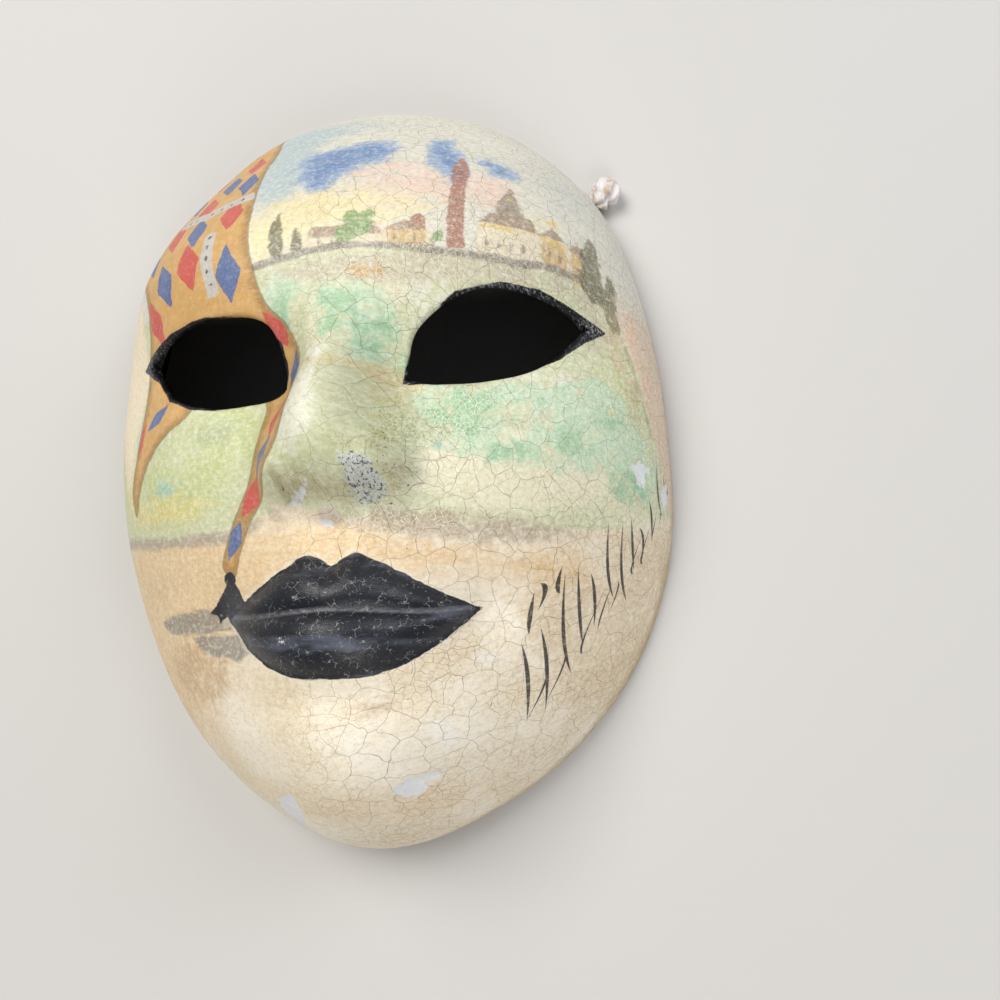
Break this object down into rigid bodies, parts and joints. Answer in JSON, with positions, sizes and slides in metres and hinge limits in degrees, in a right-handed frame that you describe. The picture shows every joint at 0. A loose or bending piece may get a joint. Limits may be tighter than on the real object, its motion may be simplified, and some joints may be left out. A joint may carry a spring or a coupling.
{
  "type": "wall mask",
  "caption": "Full face mask, a thin hollow oval shell with a nose, full lips and two cut eye openings, that lies face up on its rim with a knotted ribbon.",
  "frame": {"origin": "middle of the rim's outline, on the plane that the rim rests on", "axes": "+X to the viewer's right, +Y from the chin up to the forehead, +Z out of the face"},
  "size_m": [0.1594, 0.212, 0.0728],
  "materials": {
    "painted_papier_mache": "paper pulp and glue over gesso, hand painted, with a crackled semi-gloss varnish",
    "satin_ribbon": "white woven satin with a soft sheen"
  },
  "bodies": {
    "root": {"mask_shell": "painted_papier_mache", "hanging_ribbon": "satin_ribbon", "ribbon_knot": "satin_ribbon"}
  },
  "joints": []
}
